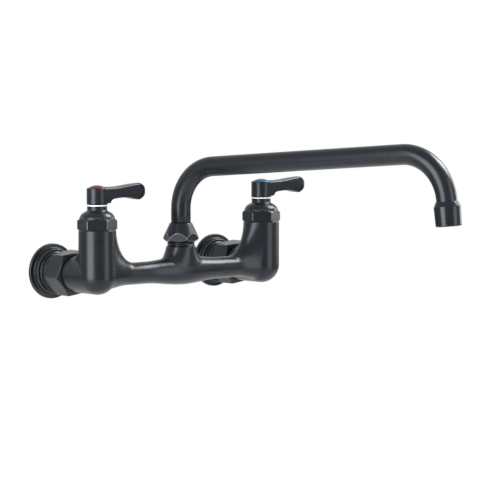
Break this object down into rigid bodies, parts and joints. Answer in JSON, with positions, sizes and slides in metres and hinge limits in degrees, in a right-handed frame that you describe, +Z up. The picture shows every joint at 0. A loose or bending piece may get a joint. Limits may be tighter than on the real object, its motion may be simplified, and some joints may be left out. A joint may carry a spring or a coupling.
{
  "type": "commercial wall faucet",
  "caption": "Wall-mounted kitchen mixing faucet in satin black: a cast body between two lever valves, with a swivelling tube spout and cover flanges.",
  "frame": {"origin": "halfway between the two supply connections, in the plane of the wall", "axes": "+Y into the wall along the supply pipes, +Z up, +X from the hot valve to the cold valve"},
  "size_m": [0.2855, 0.3823, 0.1543],
  "materials": {
    "satin_black": "satin black coating",
    "hot_button": "moulded dark red",
    "cold_button": "moulded dark blue",
    "nylon": "natural white",
    "rubber": "matt black",
    "ceramic": "lapped ceramic",
    "brass": "machined",
    "steel": "stainless"
  },
  "bodies": {
    "fixed_body": {"mixing_body": "satin_black", "hot_seat_seal": "rubber", "hot_fixed_disc": "ceramic", "hot_cartridge_housing": "brass", "hot_housing_o_ring": "rubber", "hot_bonnet_nut": "satin_black", "hot_glide_washer": "nylon", "hot_union_washer": "rubber", "hot_coupling_nut": "satin_black", "hot_inlet_shank": "satin_black", "hot_wall_flange": "satin_black", "cold_seat_seal": "rubber", "cold_fixed_disc": "ceramic", "cold_cartridge_housing": "brass", "cold_housing_o_ring": "rubber", "cold_bonnet_nut": "satin_black", "cold_glide_washer": "nylon", "cold_union_washer": "rubber", "cold_coupling_nut": "satin_black", "cold_inlet_shank": "satin_black", "cold_wall_flange": "satin_black", "spout_glide_ring": "nylon", "spout_nut": "satin_black"},
    "hot_handle": {"hot_turning_disc": "ceramic", "hot_valve_stem": "brass", "hot_stem_o_ring": "rubber", "hot_stem_clip": "steel", "hot_lever_handle": "satin_black", "hot_handle_screw": "steel", "hot_index_button": "hot_button"},
    "cold_handle": {"cold_turning_disc": "ceramic", "cold_valve_stem": "brass", "cold_stem_o_ring": "rubber", "cold_stem_clip": "steel", "cold_lever_handle": "satin_black", "cold_handle_screw": "steel", "cold_index_button": "cold_button"},
    "spout": {"spout_tube": "satin_black", "spout_spigot": "brass", "spout_o_rings": "rubber", "outlet_collar": "satin_black", "outlet_washer": "rubber", "aerator_shell": "brass", "aerator_insert": "nylon", "aerator_screen": "steel"}
  },
  "joints": [
    {"name": "hot_handle_turn", "type": "hinge", "parent": "fixed_body", "child": "hot_handle", "pos_m": [-0.1016, -0.075, 0.07], "axis": [0, 0, 1], "range_deg": [-90, 0]},
    {"name": "cold_handle_turn", "type": "hinge", "parent": "fixed_body", "child": "cold_handle", "pos_m": [0.1016, -0.075, 0.07], "axis": [0, 0, 1], "range_deg": [-90, 0]},
    {"name": "spout_swing", "type": "hinge", "parent": "fixed_body", "child": "spout", "pos_m": [0, -0.074, 0.03], "axis": [0, 0, 1], "range_deg": [-113, 87]}
  ]
}
